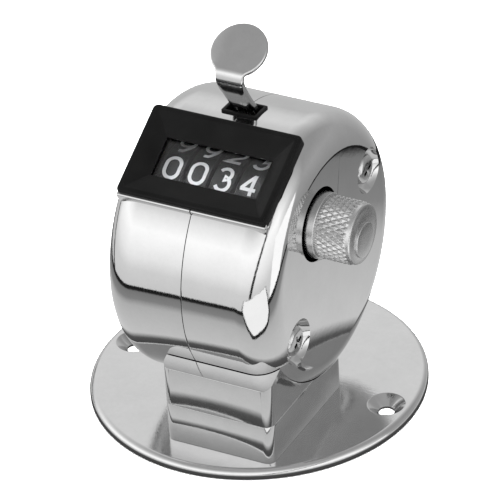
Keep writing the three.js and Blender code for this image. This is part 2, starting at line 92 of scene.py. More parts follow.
ALONG_X = Matrix(((0, 0, 1, 0), (1, 0, 0, 0), (0, 1, 0, 0), (0, 0, 0, 1)))  # a turned piece's axis onto +X
AT_DRUM = Matrix.Translation((0, 0, DRUM_Z))
AT_WINDOW = AT_DRUM @ Matrix.Rotation(TILT, 4, "X")
AT_SHAFT = Matrix.Translation((0, *SHAFT))


# ---- mesh helpers ------------------------------------------------------------------------------
def arc(cx, cy, radius, start, end, steps):
    """Points on an arc, angles in degrees."""
    angles = [math.radians(start + (end - start) * i / steps) for i in range(steps + 1)]
    return [(cx + radius * math.cos(a), cy + radius * math.sin(a)) for a in angles]


def rounded_rect(half_x, half_y, corner, steps=5, cx=0.0, cy=0.0):
    points = []
    for sx, sy, start in ((1, 1, 0), (-1, 1, 90), (-1, -1, 180), (1, -1, 270)):
        middle_x, middle_y = cx + sx * (half_x - corner), cy + sy * (half_y - corner)
        points += arc(middle_x, middle_y, corner, start, start + 90, steps)
    return points


def new_solid(verts, faces, matrix=None):
    """A mesh object, still in millimetres, with its faces pointing outwards."""
    mesh = bpy.data.meshes.new("draft")
    bm = bmesh.new()
    made = [bm.verts.new(v) for v in verts]
    for face in faces:
        bm.faces.new([made[i] for i in face])
    bmesh.ops.remove_doubles(bm, verts=bm.verts, dist=1e-5)
    if matrix:
        bm.transform(matrix)
    bmesh.ops.recalc_face_normals(bm, faces=bm.faces)
    bm.to_mesh(mesh)
    bm.free()
    obj = bpy.data.objects.new("draft", mesh)
    bpy.context.scene.collection.objects.link(obj)
    return obj


def bridge(faces, ring_a, ring_b):
    for i in range(len(ring_a)):
        j = (i + 1) % len(ring_a)
        faces.append((ring_a[i], ring_a[j], ring_b[j], ring_b[i]))


def turned(profile, sides, matrix=None, ring=False):
    """A solid turned about Z from (radius, height) points, with flat caps at its ends, or a closed ring."""
    if not ring:
        profile = [point for point in profile if point[0] > 1e-6]
    turn = 2 * math.pi / sides
    ways = [(math.cos(turn * i), math.sin(turn * i)) for i in range(sides)]
    loops = [[(r * x, r * y, h) for x, y in ways] for r, h in profile]
    return lofted(loops, matrix, ring, spokes=True)


def lofted(loops, matrix=None, ring=False, spokes=False):
    """A skin over loops of 3-D points, all of one count; spokes splits each end cap into narrow quads."""
    if spokes and not ring:
        loops = [shrunk(loops[0])] + loops + [shrunk(loops[-1])]
    count = len(loops[0])
    verts = [p for loop in loops for p in loop]
    rings = [list(range(i * count, (i + 1) * count)) for i in range(len(loops))]
    faces = []
    for a, b in zip(rings, rings[1:] + (rings[:1] if ring else [])):
        bridge(faces, a, b)
    if not ring:
        faces += [tuple(rings[0]), tuple(rings[-1])]
    return new_solid(verts, faces, matrix)


def shrunk(loop, factor=0.08):
    """The same loop, drawn in towards its middle."""
    centre = [sum(p[k] for p in loop) / len(loop) for k in range(3)]
    return [tuple(c + (v - c) * factor for v, c in zip(p, centre)) for p in loop]


def prism(outline, low, high, matrix=None):
    return lofted([[(x, y, h) for x, y in outline] for h in (low, high)], matrix)


def block(x0, x1, y0, y1, z0, z1, matrix=None):
    return prism([(x0, y0), (x1, y0), (x1, y1), (x0, y1)], z0, z1, matrix)


def bake(obj):
    graph = bpy.context.evaluated_depsgraph_get()
    mesh = bpy.data.meshes.new_from_object(obj.evaluated_get(graph), depsgraph=graph)
    obj.modifiers.clear()
    old = obj.data
    obj.data = mesh
    bpy.data.meshes.remove(old)
    return obj


def boolean(obj, tools, operation):
    for tool in tools:
        modifier = obj.modifiers.new("b", "BOOLEAN")
        modifier.operation = operation
        modifier.solver = "MANIFOLD"
        modifier.object = tool
        bake(obj)
        bpy.data.objects.remove(tool)
    return obj


def cut(obj, *tools):
    return boolean(obj, tools, "DIFFERENCE")


def fuse(obj, *tools):
    return boolean(obj, tools, "UNION")


def join(obj, *others):
    """Adds other drafts' meshes to obj's, with no boolean."""
    bm = bmesh.new()
    bm.from_mesh(obj.data)
    for other in others:
        bm.from_mesh(other.data)
        bpy.data.objects.remove(other)
    bm.to_mesh(obj.data)
    bm.free()
    return obj


def finish(obj, name, body, material, replaces=(), crease=30, true_normal=None):
    """Names a draft, turns it into metres, smooths it and hangs it on its CAD body."""
    obj.name = name
    mesh = obj.data
    mesh.name = name
    normals = []
    if true_normal:
        for polygon in mesh.polygons:
            exact = true_normal(polygon.center)
            on_surface = exact is not None and exact.dot(polygon.normal) > 0.97
            for loop in polygon.loop_indices:
                place = mesh.vertices[mesh.loops[loop].vertex_index].co
                vector = true_normal(place) if on_surface else None
                normals.append(vector or Vector((0, 0, 0)))
    mesh.transform(Matrix.Scale(MM, 4))
    for polygon in mesh.polygons:
        polygon.use_smooth = True
    mesh.set_sharp_from_angle(angle=math.radians(crease))
    if normals:
        mesh.normals_split_custom_set(normals)
    mesh.materials.clear()
    mesh.materials.append(material)
    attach(obj, body)
    if replaces:
        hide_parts(*replaces)
    return obj


# ---- materials ---------------------------------------------------------------------------------
class Nodes:
    """A small helper to write node trees in a few lines."""

    def __init__(self, name):
        self.material = bpy.data.materials.new(name)
        self.material.use_nodes = True
        self.tree = self.material.node_tree
        self.tree.nodes.clear()
        self.out = self.add("ShaderNodeOutputMaterial")
        self.shader = self.add("ShaderNodeBsdfPrincipled")
        self.link(self.shader.outputs[0], self.out.inputs[0])
        self.place = self.add("ShaderNodeTexCoord").outputs["Object"]

    def add(self, kind, **settings):
        node = self.tree.nodes.new(kind)
        for key, value in settings.items():
            setattr(node, key, value)
        return node

    def link(self, a, b):
        self.tree.links.new(a, b)

    def set(self, **values):
        for key, value in values.items():
            self.shader.inputs[key.replace("_", " ")].default_value = value

    def mapping(self, scale=(1, 1, 1), rotation=(0, 0, 0), location=(0, 0, 0)):
        node = self.add("ShaderNodeMapping")
        node.inputs["Location"].default_value = location
        node.inputs["Rotation"].default_value = rotation
        node.inputs["Scale"].default_value = scale
        self.link(self.place, node.inputs[0])
        return node.outputs[0]

    def noise(self, scale, detail=3.0, vector=None, rough=0.5):
        node = self.add("ShaderNodeTexNoise")
        node.inputs["Scale"].default_value = scale
        node.inputs["Detail"].default_value = detail
        node.inputs["Roughness"].default_value = rough
        self.link(vector or self.place, node.inputs["Vector"])
        return node.outputs["Fac"]

    def ramp(self, value, stops):
        node = self.add("ShaderNodeValToRGB")
        elements = node.color_ramp.elements
        while len(elements) < len(stops):
            elements.new(0.5)
        for element, (position, colour) in zip(elements, stops):
            element.position = position
            element.color = (*colour, 1) if isinstance(colour, tuple) else (colour, colour, colour, 1)
        self.link(value, node.inputs[0])
        return node.outputs[0]

    def spread(self, value, low, high, from_low=0.0, from_high=1.0):
        node = self.add("ShaderNodeMapRange")
        limits = {"From Min": from_low, "From Max": from_high, "To Min": low, "To Max": high}
        for name, number in limits.items():
            node.inputs[name].default_value = number
        self.link(value, node.inputs["Value"])
        return node.outputs[0]

    def math(self, operation, a, b=None):
        node = self.add("ShaderNodeMath", operation=operation)
        for socket, value in zip(node.inputs, (a, b)):
            if value is None:
                continue
            if isinstance(value, (int, float)):
                socket.default_value = value
            else:
                self.link(value, socket)
        return node.outputs[0]

    def bump(self, height, strength, distance, before=None):
        node = self.add("ShaderNodeBump")
        node.inputs["Strength"].default_value = strength
        node.inputs["Distance"].default_value = distance
        self.link(height, node.inputs["Height"])
        if before:
            self.link(before, node.inputs["Normal"])
        return node.outputs[0]

    def drive(self, **sockets):
        for key, value in sockets.items():
            self.link(value, self.shader.inputs[key.replace("_", " ")])


def metal(name, dark, light, rough, grain=None, ripple=0.0, smudge=900.0):
    """A metal that varies a little all over; grain is the (scale, strength) of its fine lines."""
    n = Nodes(name)
    n.set(Metallic=1.0)
    cloud = n.noise(smudge / 6, 4.0)
    fine = n.noise(smudge, 2.0)
    mixed = n.math("ADD", n.math("MULTIPLY", cloud, 0.7), n.math("MULTIPLY", fine, 0.3))
    n.drive(Base_Color=n.ramp(mixed, [(0.3, dark), (0.7, light)]),
            Roughness=n.spread(mixed, rough[0], rough[1], 0.3, 0.7))
    height = n.math("MULTIPLY", n.noise(smudge / 4, 3.0), ripple) if ripple else None
    if grain:
        lines = n.noise(1.0, 4.0, n.mapping(scale=grain[0]), 0.7)
        lines = n.math("MULTIPLY", lines, grain[1])
        height = n.math("ADD", height, lines) if height else lines
    if height:
        n.drive(Normal=n.bump(height, 1.0, 0.0001))
    return n.material


def plastic(name, dark, light, rough, speckle=3000.0, bump=0.05, specular=0.3):
    n = Nodes(name)
    n.set(Specular_IOR_Level=specular)
    cloud = n.noise(speckle / 12, 3.0)
    fine = n.noise(speckle, 2.0)
    n.drive(Base_Color=n.ramp(cloud, [(0.3, dark), (0.7, light)]),
            Roughness=n.spread(fine, rough[0], rough[1], 0.3, 0.7),
            Normal=n.bump(fine, bump, 0.00005))
    return n.material


def clear_plastic(name):
    n = Nodes(name)
    n.set(Transmission_Weight=1.0, IOR=1.45, Base_Color=(0.95, 0.96, 0.97, 1), Specular_IOR_Level=0.35)
    n.drive(Roughness=n.spread(n.noise(400, 2.0), 0.0, 0.03))
    return n.material


DRUM_GRAIN = ((4200, 900, 900), 0.05)
BASE_GRAIN = ((300, 5000, 300), 0.08)
CHROME = metal("chrome", 0.62, 0.66, (0.03, 0.06), ripple=0.02, smudge=1500, grain=DRUM_GRAIN)
BLOCK_CHROME = metal("block_chrome", 0.60, 0.65, (0.06, 0.11), ripple=0.05, smudge=2500)
BASE_METAL = metal("satin_base", 0.60, 0.65, (0.07, 0.13), ripple=0.03, smudge=1500, grain=BASE_GRAIN)
LEVER_METAL = metal("satin_lever", 0.60, 0.64, (0.10, 0.16), ripple=0.03, smudge=2500)
KNOB_METAL = metal("knob_metal", 0.56, 0.64, (0.22, 0.32), ripple=0.05, smudge=2500)
SCREW_METAL = metal("screw_metal", 0.50, 0.60, (0.14, 0.22), ripple=0.05, smudge=2500)
STEEL = metal("plain_steel", 0.50, 0.62, (0.25, 0.4), ripple=0.1, smudge=1200)
BRASS = metal("brass", (0.60, 0.45, 0.22), (0.72, 0.56, 0.30), (0.22, 0.36), ripple=0.1, smudge=1200)
BLACK = plastic("black_plastic", 0.0015, 0.0025, (0.30, 0.38), specular=0.12)
GUIDE_BLACK = plastic("guide_black", 0.002, 0.004, (0.4, 0.5), specular=0.15)
WHEEL_BLACK = plastic("wheel_black", 0.010, 0.016, (0.45, 0.6), specular=0.3)
FIGURE_WHITE = plastic("figure_white", 0.55, 0.75, (0.45, 0.6), speckle=5000, bump=0.1)
IVORY = plastic("ivory_gear", 0.5, 0.6, (0.4, 0.5))
LENS = clear_plastic("clear_lens")


# ---- base plate and saddle block ---------------------------------------------------------------
BASE_RIM = 1.1
BASE_FOOT = 0.35
THREAD_R = 1.38


def base_plate():
    foot = BASE_FOOT
    profile = [(0, 0), (BASE_R - foot, 0)] + arc(BASE_R - foot, foot, foot, -90, 0, 4)
    profile += arc(BASE_R - BASE_RIM, BASE_T - BASE_RIM, BASE_RIM, 0, 90, 10) + [(0, BASE_T)]
    plate = turned(profile, 256)
    for side in (-1, 1):
        at = Matrix.Translation((side * HOLE_X, 0, 0))
        bore, mouth = 1.32, 3.12
        sink = [(0, -0.5), (bore, -0.5), (bore, 0.35), (mouth - 0.14, BASE_T - 0.06), (mouth, BASE_T)]
        cut(plate, turned(sink + [(mouth, 3), (0, 3)], 64, at))
    for name in ("block_screw_1", "block_screw_2"):
        at = Matrix.Translation((middle(name).x, middle(name).y, 0))
        seat = [(0, -0.5), (2.82, -0.5), (2.82, 0.06), (THREAD_R, 1.32), (THREAD_R, 3), (0, 3)]
        cut(plate, turned(seat, 48, at))
    finish(plate, "base_disc", "housing", BASE_METAL, ["base_plate"],
           true_normal=base_normal)


def base_normal(p):
    """The disc's exact outward normal at a point on its faces or rounded rim, or None elsewhere."""
    near, close = 0.005, 0.02
    radius = math.hypot(p.x, p.y)
    if abs(p.z - BASE_T) < near and radius < BASE_R - BASE_RIM + 0.05:
        return Vector((0, 0, 1))
    if abs(p.z) < near:
        return Vector((0, 0, -1))
    out = (radius - (BASE_R - BASE_RIM), p.z - (BASE_T - BASE_RIM))
    if out[0] > -close and out[1] > -close and abs(math.hypot(*out) - BASE_RIM) < close:
        return Vector((p.x / radius * out[0], p.y / radius * out[0], out[1])).normalized()
    return None


BLOCK_CORNER = 1.5
LEDGE_SLOPE = math.radians(24)
LEDGE_EDGE = 0.18
LEDGE_END = -16.0


def saddle_block():
    """Two pillars with a seam between them, hollowed on top to seat the drum."""
    cx, cy = (block_low.x + block_high.x) / 2, (block_low.y + block_high.y) / 2
    half_x, half_y = (block_high.x - block_low.x) / 2, (block_high.y - block_low.y) / 2
    seam = block_high.z

    def pillar(levels):
        loops = []
        for height, inset in levels:
            outline = rounded_rect(half_x - inset, half_y - inset, BLOCK_CORNER - inset, 8, cx, cy)
            loops.append([(x, y, height) for x, y in outline])
        return lofted(loops, spokes=True)

    soft = [(0.0, 0.10), (0.03, 0.03), (0.10, 0.0)]
    lower = pillar([(BASE_T + d, i) for d, i in soft] + [(seam - d, i) for d, i in reversed(soft)])
    upper = pillar([(seam + d, i) for d, i in soft] + [(BLOCK_TOP + 3, 0.0)])
    # everything above the ledge's line comes away: a soft front edge, then a slope up to the drum
    edge = LEDGE_EDGE
    line = [(block_low.y - 3, BLOCK_TOP - 4), (block_low.y - 0.01, BLOCK_TOP - edge)]
    line += arc(block_low.y + edge, BLOCK_TOP - edge, edge, 180, 114, 4)
    line += [(LEDGE_END, BLOCK_TOP + 6.1 * math.tan(LEDGE_SLOPE)), (LEDGE_END, 24), (block_low.y - 3, 24)]
    cut(upper, prism(line, block_low.x - 3, block_high.x + 3, ALONG_X))
    for piece, node in ((lower, "saddle_block_lower"), (upper, "saddle_block_upper")):
        cut(piece, drum_tool(0.12))
        for name in ("block_screw_1", "block_screw_2"):
            at = Matrix.Translation((middle(name).x, middle(name).y, 0))
            cut(piece, turned([(0, 0), (THREAD_R, 0), (THREAD_R, 12.4), (0, 12.4)], 32, at))
        name = node.replace("saddle", "saddle_skin")
        finish(piece, name, "housing", BLOCK_CHROME, [node], crease=25)


def drum_tool(grow):
    """The whole drum as a solid, grown all round, to cut its seat."""
    edge, half, radius = DRUM_EDGE + grow, DRUM_HALF + grow, DRUM_R + grow
    right = [(r, h) for h, r in arc(half - edge, radius - edge, edge, 90, 0, 14)]
    left = [(r, -h) for r, h in reversed(right)]
    return turned([(0, -half)] + left + right + [(0, half)], 200, AT_DRUM @ ALONG_X)


# ---- drum housing ------------------------------------------------------------------------------
PLINTH = {"half": 12.6, "low": -8.42, "high": 7.75, "top": BEZEL_FRONT - BEZEL_SKIRT - 0.1}
SILL = {"depth": 0.85, "top": BEZEL_FRONT - 0.95}
SLOT = {"half": 3.0, "y0": -0.85, "y1": 2.95}
BOSS_R = 4.6
DISH = {"floor": 13.75, "radius": 2.85, "flare": 1.0, "rise": 1.2, "power": 1.7}


def drum_normal(p):
    """The housing's exact outward normal at a point on it, or None off the turned surface."""
    y, z = p.y, p.z - DRUM_Z
    radius = math.hypot(y, z)
    if radius < 1e-6:
        return Vector((math.copysign(1, p.x), 0, 0))
    along, out = abs(p.x) - (DRUM_HALF - DRUM_EDGE), radius - (DRUM_R - DRUM_EDGE)
    way = Vector((0, y / radius, z / radius))
    if along <= 0 and abs(radius - DRUM_R) < 0.02:
        return way
    if out <= 0 and abs(abs(p.x) - DRUM_HALF) < 0.02:
        return Vector((math.copysign(1, p.x), 0, 0))
    if along > 0 and out > 0 and abs(math.hypot(along, out) - DRUM_EDGE) < 0.03:
        return Vector((math.copysign(along, p.x), way.y * out, way.z * out)).normalized()
    return None


def case_half():
    """The housing's right half without its holes for the knob and screws, split at x = 0."""
    fillet = [(r, h) for h, r in arc(DRUM_HALF - DRUM_EDGE, DRUM_R - DRUM_EDGE, DRUM_EDGE, 90, 0, 18)]
    seam = [(0, SEAM_HALF), (DRUM_R - 0.14, SEAM_HALF)]
    seam += [(DRUM_R - 0.03, SEAM_HALF + 0.03), (DRUM_R, SEAM_HALF + 0.12)]
    shell = turned(seam + fillet + [(0, DRUM_HALF)], 288, AT_DRUM @ ALONG_X)
    deep, centre = (PLINTH["high"] - PLINTH["low"]) / 2, (PLINTH["high"] + PLINTH["low"]) / 2
    rounded = rounded_rect(PLINTH["half"], deep, 0.8, 5, 0, centre)
    keep = block(SEAM_HALF, 30, -40, 40, -40, 80)
    plinth = boolean(prism(rounded, 16, PLINTH["top"], AT_WINDOW), [keep], "INTERSECT")
    fuse(shell, plinth)
    cut(shell, block(-13.15, 13.15, PLINTH["low"] + SILL["depth"], 8.2, PLINTH["top"], 30, AT_WINDOW))
    low, high = PLINTH["low"] + 0.02, PLINTH["low"] + SILL["depth"] + 0.03
    sill = [(low, 20.5), (low, SILL["top"] - 0.3)] + arc(low + 0.3, SILL["top"] - 0.3, 0.3, 180, 90, 5)
    sill += arc(high - 0.12, SILL["top"] - 0.12, 0.12, 90, 0, 3) + [(high, 20.5)]
    fuse(shell, prism(sill, SEAM_HALF + 0.08, 13.0, AT_WINDOW @ ALONG_X))
    hollow = arc(DRUM_HALF - DRUM_EDGE, DRUM_R - DRUM_EDGE, DRUM_EDGE - DRUM_WALL, 90, 0, 8)
    inner = [(0, -1), (DRUM_R - DRUM_WALL, -1)] + [(r, h) for h, r in hollow] + [(0, DRUM_HALF - DRUM_WALL)]
    cut(shell, turned(inner, 96, AT_DRUM @ ALONG_X))
    cut(shell, block(-11, 11, -5.5, 5.7, 10, 30, AT_WINDOW))
    cut(shell, block(-SLOT["half"], SLOT["half"], SLOT["y0"], SLOT["y1"], DRUM_Z + 15, DRUM_Z + 30))
    return shell


def right_case():
    """The right half, with dished screw seats and the knob's hole, all cut in one go."""
    shell = case_half()
    floor, radius = DISH["floor"], DISH["radius"]
    bosses, holes = [], []
    for y, z in SCREWS:
        at = Matrix.Translation((0, y, z)) @ ALONG_X @ Matrix.Rotation(math.radians(1.7), 4, "Z")
        bosses.append(turned([(0, 12.5), (BOSS_R, 12.5), (BOSS_R, 14.0), (0, 14.0)], 48, at))
        well = [(0, 12), (1.6, 12), (1.6, floor), (radius - 0.1, floor), (radius, floor + 0.05)]
        for t in (0.15, 0.3, 0.45, 0.6, 0.75, 0.9, 1.07):
            well.append((radius + DISH["flare"] * t, floor + 0.05 + DISH["rise"] * t ** DISH["power"]))
        holes.append(turned(well + [(BOSS_R, 15.6), (0, 15.6)], 96, at))
    fuse(shell, join(*bosses))
    hole = [(0, 12), (KNOB_HOLE, 12), (KNOB_HOLE, 14.75), (KNOB_HOLE + 0.06, 14.9)]
    hole += [(KNOB_HOLE + 0.2, 15.02), (KNOB_HOLE + 0.2, 16), (0, 16)]
    holes.append(turned(hole, 128, AT_SHAFT @ ALONG_X @ Matrix.Rotation(math.radians(1.1), 4, "Z")))
    cut(shell, join(*holes))
    finish(shell, "case_skin_right", "housing", CHROME, ["right_case"],
           true_normal=drum_normal)


def left_case():
    """The right half mirrored, with no holes in its face."""
    shell = case_half()
    bm = bmesh.new()
    bm.from_mesh(shell.data)
    bm.transform(Matrix.Scale(-1, 4, (1, 0, 0)))
    bmesh.ops.reverse_faces(bm, faces=bm.faces)
    bm.to_mesh(shell.data)
    bm.free()
    finish(shell, "case_skin_left", "housing", CHROME, ["left_case"],
           true_normal=drum_normal)


def case_screw(index):
    """Pan head with a cross recess that narrows as it goes in."""
    y, z = SCREWS[index]
    at = Matrix.Translation((0, y, z)) @ ALONG_X
    head = [(2.4, 13.85), (2.45, 14.0), (2.42, 14.25), (2.3, 14.5), (2.05, 14.7), (1.6, 14.83)]
    screw = fuse(turned(head, 64, at), turned([(0, 7.5), (1.2, 7.5), (1.2, 13.9), (0, 13.9)], 32, at))
    for turn in (20, 110):
        spin = at @ Matrix.Rotation(math.radians(turn), 4, "Z")
        loops = [[(sx * a, sy * b, h) for sx, sy in ((-1, -1), (1, -1), (1, 1), (-1, 1))]
                 for a, b, h in ((0.5, 0.22, 14.0), (1.55, 0.34, 15.2))]
        cut(screw, lofted(loops, spin))
    where = ("upper", "lower")[index]
    finish(screw, f"{where}_screw_head", "housing", SCREW_METAL, [f"{where}_case_screw"])


# ---- window and lever guide --------------------------------------------------------------------
def bezel():
    """The black frame: rounded outer edge, a wide face sloping in to the window, and a hollow behind."""
    front, back = BEZEL_FRONT, BEZEL_FRONT - BEZEL_SKIRT
    hx, hy = BEZEL_HALF
    wx, wy = WINDOW_HALF
    levels = [(hx, hy, 0.8, back), (hx, hy, 0.8, front - 0.4)]
    edge = 0.4
    for a in (0.39, 0.79, 1.18):
        shrink = edge - edge * math.cos(a)
        levels.append((hx - shrink, hy - shrink, 0.8, front - edge + edge * math.sin(a)))
    levels += [(hx - edge, hy - edge, 0.6, front), (hx - 0.9, hy - 0.9, 0.4, front)]
    levels += [(hx - 1.0, hy - 1.0, 0.35, front - 0.03), (wx + 0.12, wy + 0.12, 0.16, front - 1.42)]
    levels += [(wx, wy, 0.12, front - 1.55), (wx, wy, 0.12, front - 1.78)]
    levels += [(9.9, 4.3, 0.12, front - 1.8), (9.9, 4.3, 0.12, 20.72)]
    levels += [(10.4, 5.0, 0.12, 20.7), (10.4, 5.0, 0.12, back)]
    loops = [[(x, y, n) for x, y in rounded_rect(a, b, c, 5)] for a, b, c, n in levels]
    frame_ring = lofted(loops, AT_WINDOW, ring=True)
    over_sill = PLINTH["low"] + SILL["depth"] + 0.1
    cut(frame_ring, block(-14, 14, -9, over_sill, 20, SILL["top"] + 0.08, AT_WINDOW))
    finish(frame_ring, "bezel_skin", "housing", BLACK, ["bezel_frame"], crease=24)


def lever_guide():
    """A low collar that follows the drum's curve, with a sleeve down into the slot."""
    under = DRUM_R + 0.03
    outer_y = (SLOT["y0"] - 0.15, SLOT["y1"] + 0.15)
    inner_y = (SLOT["y0"] + 0.35, SLOT["y1"] - 0.35)
    sleeve_y = (SLOT["y0"] + 0.15, SLOT["y1"] - 0.15)

    def lip(half_x, y_pair, corner, lift):
        cy, hy = sum(y_pair) / 2, (y_pair[1] - y_pair[0]) / 2
        outline = rounded_rect(half_x, hy, corner, 4, 0, cy)
        return [(x, y, math.sqrt(under ** 2 - y ** 2) + lift) for x, y in outline]

    loops = [lip(3.15, outer_y, 0.3, 0.0), lip(3.15, outer_y, 0.3, 0.25)]
    loops += [lip(3.05, (outer_y[0] + 0.1, outer_y[1] - 0.1), 0.25, 0.35)]
    loops += [lip(2.7, (inner_y[0] - 0.1, inner_y[1] + 0.1), 0.2, 0.35), lip(2.6, inner_y, 0.15, 0.25)]
    loops += [lip(2.6, inner_y, 0.15, -0.8), lip(2.85, sleeve_y, 0.2, -0.8), lip(2.85, sleeve_y, 0.2, 0.0)]
    guide = lofted(loops, AT_DRUM, ring=True)
    finish(guide, "guide_skin", "housing", GUIDE_BLACK, ["lever_guide"])


# ---- number wheels -----------------------------------------------------------------------------
def figure_lines(digit):
    """Centre lines of a figure in a box 0.74 wide and 1 high, the origin at its middle."""
    w = 0.30
    h = 0.44
    top, bottom = h, -h
    if digit == 0:
        ring = arc(0, top - w, w, 0, 180, 12) + arc(0, bottom + w, w, 180, 360, 12)
        return [ring + ring[:1]]
    if digit == 1:
        return [[(-0.16, 0.26), (0.03, top), (0.03, bottom)]]
    if digit == 2:
        return [arc(0, top - w, w, 165, -35, 12) + [(-w, bottom), (w, bottom)]]
    if digit == 3:
        upper, lower = 0.22, 0.25
        bowl = arc(0, bottom + lower, lower * 1.15, 80, -155, 10)
        return [arc(0, top - upper, upper * 1.15, 155, -80, 10) + bowl]
    if digit == 4:
        stem, bar = 0.12, -0.2
        return [[(stem, bottom), (stem, top)], [(stem, top - 0.02), (-w, bar)], [(-w - 0.03, bar), (w, bar)]]
    if digit == 5:
        flag = [(w * 0.85, top), (-w * 0.8, top), (-w * 0.85, 0.05)]
        return [flag + arc(0, bottom + 0.27, 0.29, 130, -145, 12)]
    if digit == 6:
        ring = arc(0, bottom + 0.28, 0.29, 0, 360, 18)
        return [ring, [(0.16, top)] + arc(0.42, -0.12, 0.71, 128, 178, 6)]
    if digit == 7:
        return [[(-w, top), (w, top), (-0.08, bottom)]]
    if digit == 8:
        return [arc(0, top - 0.21, 0.22, 0, 360, 16), arc(0, bottom + 0.25, 0.28, 0, 360, 18)]
    return [[(-x, -y) for x, y in line] for line in figure_lines(6)]


def dense(line, step=0.07):
    """The same line with points close enough together to follow the wheel's curve."""
    points = [line[0]]
    for a, b in zip(line, line[1:]):
        parts = max(1, math.ceil(math.dist(a, b) / step))
        for k in range(1, parts + 1):
            points.append((a[0] + (b[0] - a[0]) * k / parts, a[1] + (b[1] - a[1]) * k / parts))
    return points


def figure_strip(line, width, closed):
    """Left and right edges of a stroke of even width along a centre line."""
    pairs = []
    count = len(line)
    for i, (x, y) in enumerate(line):
        before = line[i - 1] if i else (line[-2] if closed else None)
        after = line[i + 1] if i < count - 1 else (line[1] if closed else None)
        ways = []
        for a, b in ((before, (x, y)), ((x, y), after)):
            if a is None or b is None:
                continue
            length = math.hypot(b[0] - a[0], b[1] - a[1])
            if length > 1e-6:
                ways.append(((b[0] - a[0]) / length, (b[1] - a[1]) / length))
        tx, ty = sum(w[0] for w in ways), sum(w[1] for w in ways)
        length = math.hypot(tx, ty) or 1.0
        tx, ty = tx / length, ty / length
        miter = 1.0
        if len(ways) == 2:
            cosine = tx * ways[0][0] + ty * ways[0][1]
            miter = 1 / max(cosine, 0.45)
        off = width / 2 * miter
        pairs.append(((x - ty * off, y + tx * off), (x + ty * off, y - tx * off)))
    return pairs


FIGURE_HEIGHT = 4.1
FIGURE_STROKE = 0.14
FIGURE_LEAD = math.radians(1.0)
FIGURE_PITCH = math.radians(36)
WHEEL_BORE = 1.58


def number_wheel(order, shown):
    """One wheel with its ten figures; the figure shown at rest faces the window."""
    low, high = span(f"{order}_wheel")
    cx, half = (low.x + high.x) / 2, (high.x - low.x) / 2
    rim = arc(WHEEL_R - 0.2, half - 0.2, 0.2, 0, 90, 4)
    profile = [(WHEEL_BORE, -half), (WHEEL_R - 0.2, -half)] + [(r, -h) for r, h in reversed(rim)] + rim
    if order != "units":
        recess = half - 1.25
        profile += [(WHEEL_R - 0.9, half), (7.1, half), (7.1, recess), (2.15, recess), (2.15, half)]
    profile.append((WHEEL_BORE, half))
    wheel = turned(profile, 120, Matrix.Translation((cx, *SHAFT)) @ ALONG_X, ring=True)
    finish(wheel, f"{order}_drum", order, WHEEL_BLACK, [f"{order}_wheel"])
    verts, faces = [], []
    for digit in range(10):
        # the window looks along TILT; the next higher figure comes up from below
        middle_angle = math.pi / 2 + TILT + FIGURE_LEAD + FIGURE_PITCH * (digit - shown)
        for line in figure_lines(digit):
            line = dense(line)
            closed = math.dist(line[0], line[-1]) < 1e-6
            start = len(verts)
            for left, right in figure_strip(line, FIGURE_STROKE, closed):
                for lift in (0.035, -0.05):
                    for x, y in (left, right):
                        angle = middle_angle - y * FIGURE_HEIGHT / WHEEL_R
                        radius = WHEEL_R + lift
                        verts.append((cx + x * FIGURE_HEIGHT, SHAFT[0] + radius * math.cos(angle),
                                      SHAFT[1] + radius * math.sin(angle)))
            rows = len(line)
            for i in range(rows - 1):
                a, b = start + 4 * i, start + 4 * (i + 1)
                faces += [(a, a + 1, b + 1, b), (a + 2, b + 2, b + 3, a + 3), (a, b, b + 2, a + 2),
                          (a + 1, a + 3, b + 3, b + 1)]
            if not closed:
                for a in (start, start + 4 * (rows - 1)):
                    faces.append((a, a + 2, a + 3, a + 1))
    figures = new_solid(verts, faces)
    finish(figures, f"{order}_figures", order, FIGURE_WHITE)


# ---- reset knob --------------------------------------------------------------------------------
def knurled_sleeve(x0, x1, radius, starts=34, pitch=1.8, depth=0.24, fade=0.3):
    """A ring whose outside carries crossed helical grooves."""
    around, along = starts * 8, 44
    verts, rings, faces = [], [], []
    for j in range(along + 1):
        x = x0 + (x1 - x0) * j / along
        edge = min(1.0, (x - x0) / fade, (x1 - x) / fade)
        ring = []
        for i in range(around):
            turn = starts * i / around
            a, b = (turn + x / pitch) % 1.0, (turn - x / pitch) % 1.0
            ridge = min(1 - abs(2 * a - 1), 1 - abs(2 * b - 1))
            r = radius - depth + depth * min(1.0, ridge * 1.25) * max(edge, 0.0)
            angle = 2 * math.pi * i / around
            ring.append(len(verts))
            verts.append((r * math.cos(angle), r * math.sin(angle), x))
        rings.append(ring)
    for a, b in zip(rings, rings[1:]):
        bridge(faces, a, b)
    faces += [tuple(rings[0]), tuple(rings[-1])]
    return new_solid(verts, faces, AT_SHAFT @ ALONG_X)


KNOB = {"hub": 3.2, "flange": 5.35, "flange_x": 14.7, "ring_x": 16.45, "core": 4.78, "knurl": 5.1}
BOSS_DROP = 1.0


